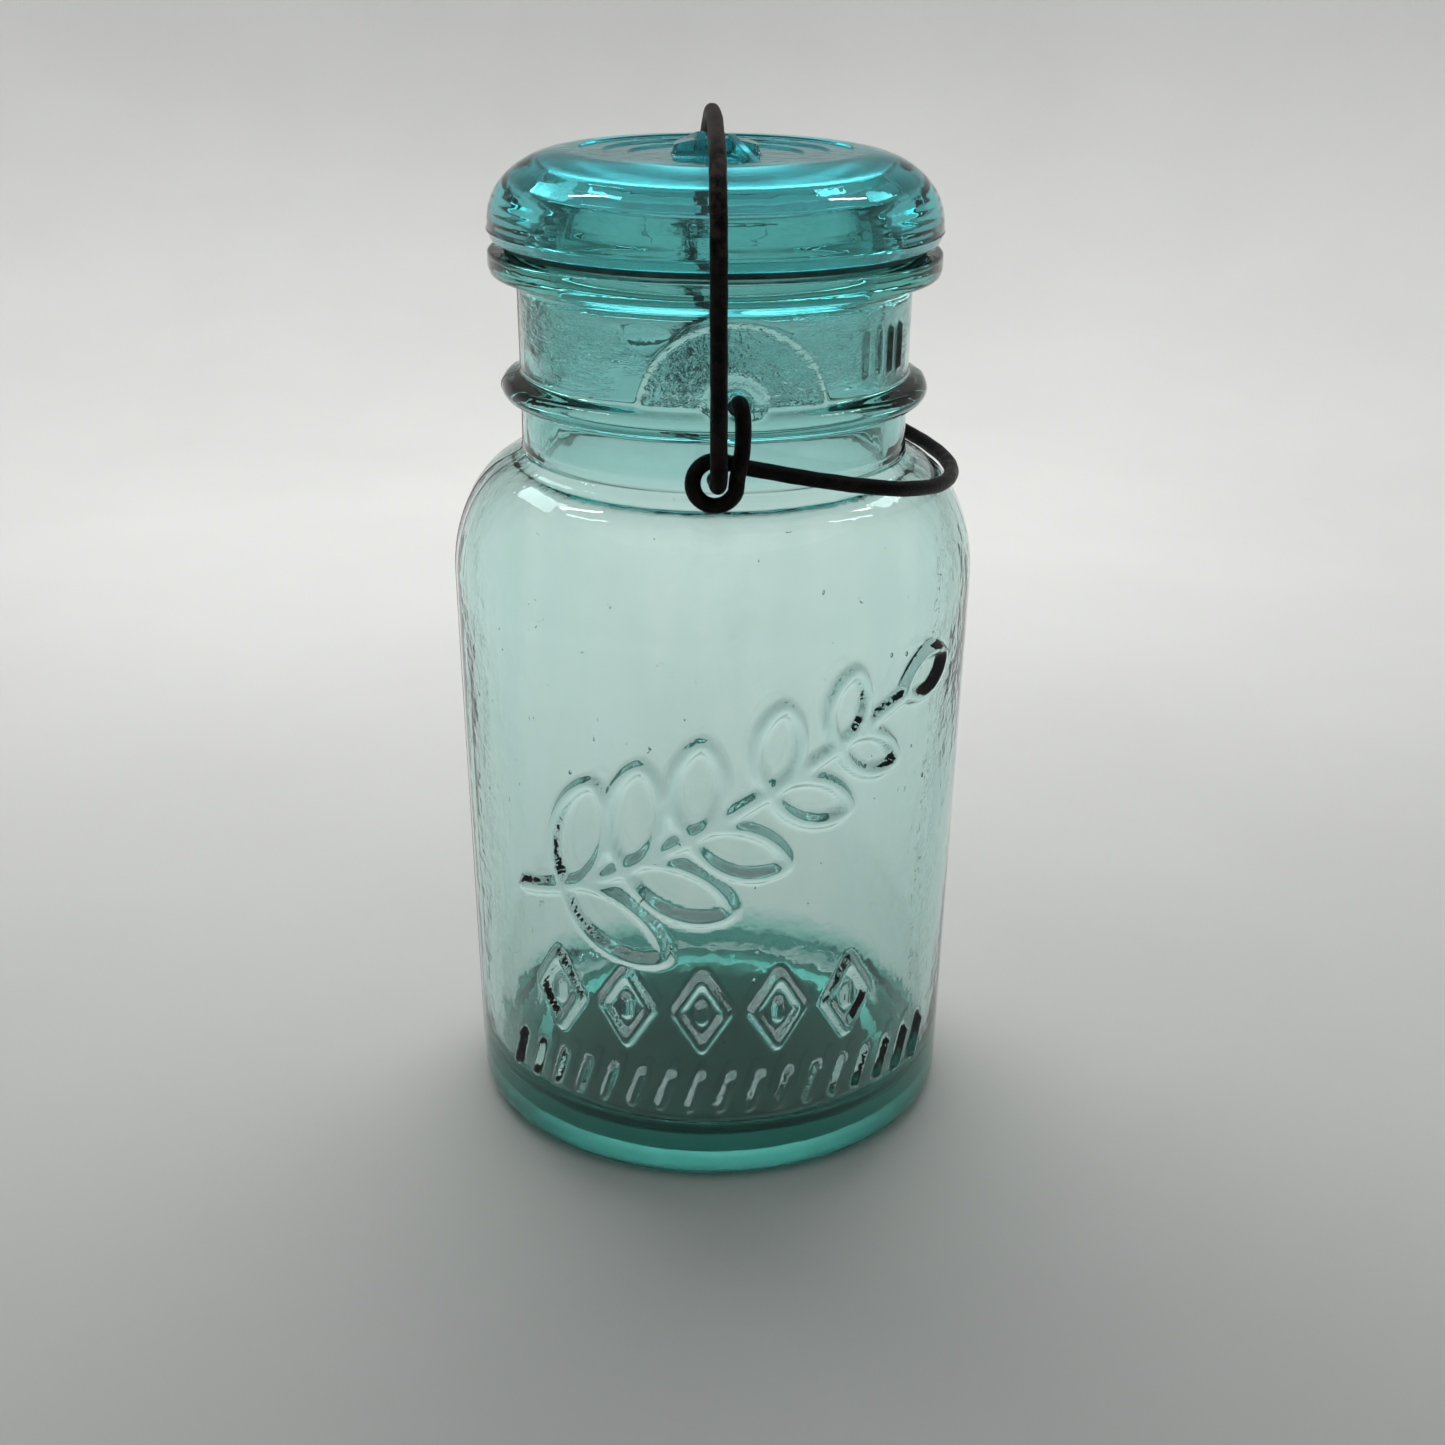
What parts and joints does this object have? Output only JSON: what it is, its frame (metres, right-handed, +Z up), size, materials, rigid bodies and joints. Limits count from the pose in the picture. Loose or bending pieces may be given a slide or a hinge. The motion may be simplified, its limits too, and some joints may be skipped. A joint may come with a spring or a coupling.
{
  "type": "bail clamp jar",
  "caption": "Tall round glass canning jar with a domed glass lid on a rubber ring, clamped by a wire bail over the lid and an over-centre wire lever on the neck.",
  "frame": {"origin": "on the jar's axis, on the surface that it stands on", "axes": "+Z up the jar's axis; the lever's pivots lie front and back along Y; the lever's handle is on the +X side"},
  "size_m": [0.096, 0.098, 0.1877],
  "materials": {
    "jar_glass": "clear blue-green pressed glass with small bubbles and mould ripples",
    "lid_glass": "clear deep blue-green pressed glass, thick",
    "ring_rubber": "aged grey-green rubber, matt",
    "bail_steel": "nearly black oxidised steel wire with brown mottling",
    "lever_steel": "nearly black oxidised steel wire"
  },
  "bodies": {
    "jar": {"jar_body": "jar_glass", "sealing_ring": "ring_rubber"},
    "lid": {"glass_lid": "lid_glass"},
    "lever": {"lever_wire": "lever_steel"},
    "bail": {"bail_wire": "bail_steel"}
  },
  "joints": [
    {"name": "lever_swing", "type": "hinge", "parent": "jar", "child": "lever", "pos_m": [0, 0, 0.1442], "axis": [0, -1, 0], "range_deg": [0, 50]},
    {"name": "bail_swing", "type": "hinge", "parent": "lever", "child": "bail", "pos_m": [-0.0037, 0, 0.13305], "axis": [0, 1, 0], "range_deg": [0, 66.7]},
    {"name": "lid_turn", "type": "hinge", "parent": "jar", "child": "lid", "pos_m": [0, 0, 0.17], "axis": [0, 0, 1], "continuous": true}
  ],
  "couplings": [
    {"joint": "bail_swing", "follows": "lever_swing", "ratio": 1.3333}
  ]
}
